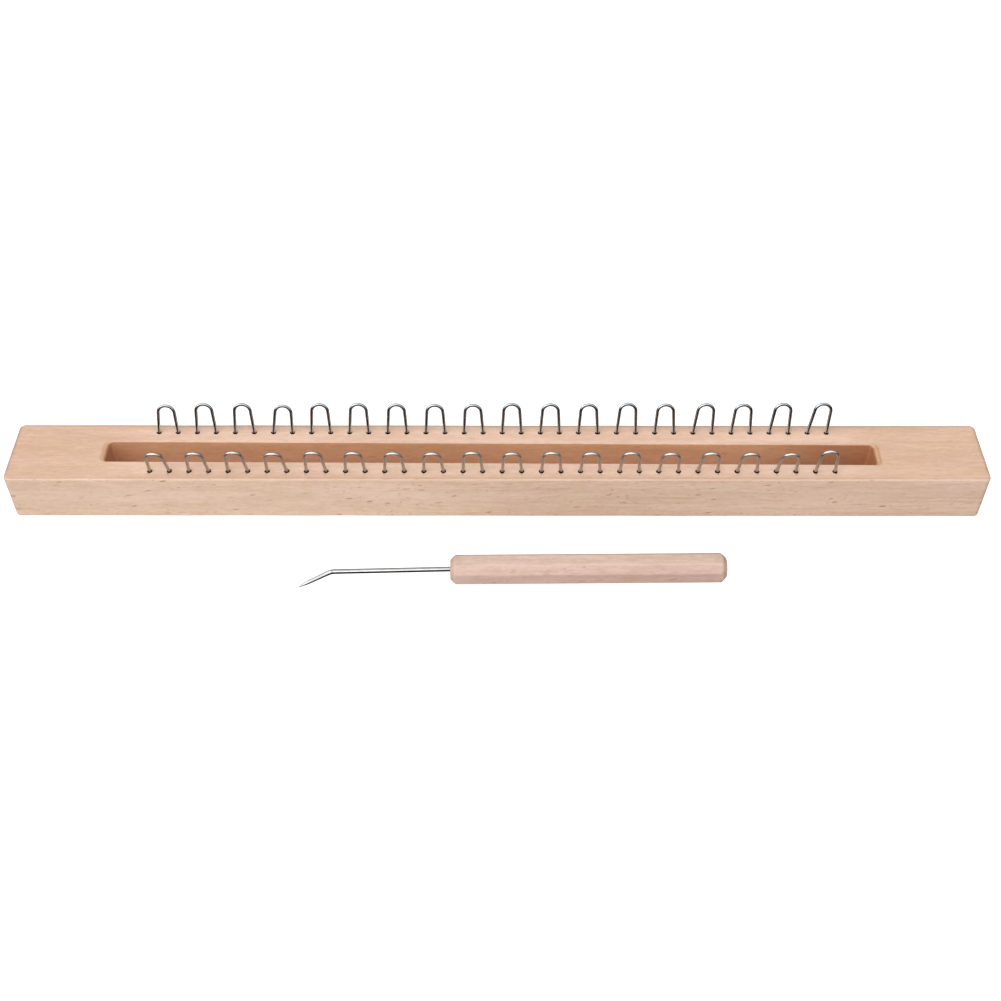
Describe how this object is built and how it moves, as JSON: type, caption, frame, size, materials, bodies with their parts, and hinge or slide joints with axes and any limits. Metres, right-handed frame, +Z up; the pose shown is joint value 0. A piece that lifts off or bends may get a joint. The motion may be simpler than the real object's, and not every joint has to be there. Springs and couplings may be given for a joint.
{
  "type": "knitting loom",
  "caption": "Beech knitting loom: a slotted bar with a leaning row of bent wire pegs along each side of the slot, and a loose wood-handled pick with a bent steel point.",
  "frame": {"origin": "middle of the bar's underside, in the plane of the table that the bar and the pick lie on", "axes": "+X along the bar, +Y from the front row of pegs to the back row, +Z up"},
  "size_m": [0.4, 0.0746, 0.0363],
  "materials": {
    "beech": "fine sanded, satin",
    "handle_beech": "fine sanded, satin",
    "wire_steel": "polished drawn wire",
    "needle_steel": "polished"
  },
  "bodies": {
    "loom": {"loom_bar": "beech", "peg_back_01": "wire_steel", "peg_back_02": "wire_steel", "peg_back_03": "wire_steel", "peg_back_04": "wire_steel", "peg_back_05": "wire_steel", "peg_back_06": "wire_steel", "peg_back_07": "wire_steel", "peg_back_08": "wire_steel", "peg_back_09": "wire_steel", "peg_back_10": "wire_steel", "peg_back_11": "wire_steel", "peg_back_12": "wire_steel", "peg_back_13": "wire_steel", "peg_back_14": "wire_steel", "peg_back_15": "wire_steel", "peg_back_16": "wire_steel", "peg_back_17": "wire_steel", "peg_back_18": "wire_steel", "peg_front_01": "wire_steel", "peg_front_02": "wire_steel", "peg_front_03": "wire_steel", "peg_front_04": "wire_steel", "peg_front_05": "wire_steel", "peg_front_06": "wire_steel", "peg_front_07": "wire_steel", "peg_front_08": "wire_steel", "peg_front_09": "wire_steel", "peg_front_10": "wire_steel", "peg_front_11": "wire_steel", "peg_front_12": "wire_steel", "peg_front_13": "wire_steel", "peg_front_14": "wire_steel", "peg_front_15": "wire_steel", "peg_front_16": "wire_steel", "peg_front_17": "wire_steel", "peg_front_18": "wire_steel"},
    "pick": {"pick_handle": "handle_beech", "pick_needle": "needle_steel"}
  },
  "joints": [
    {"name": "pick_lift", "type": "slide", "parent": "loom", "child": "pick", "axis": [0, 0, 1], "range_m": [0, 0.12]}
  ]
}
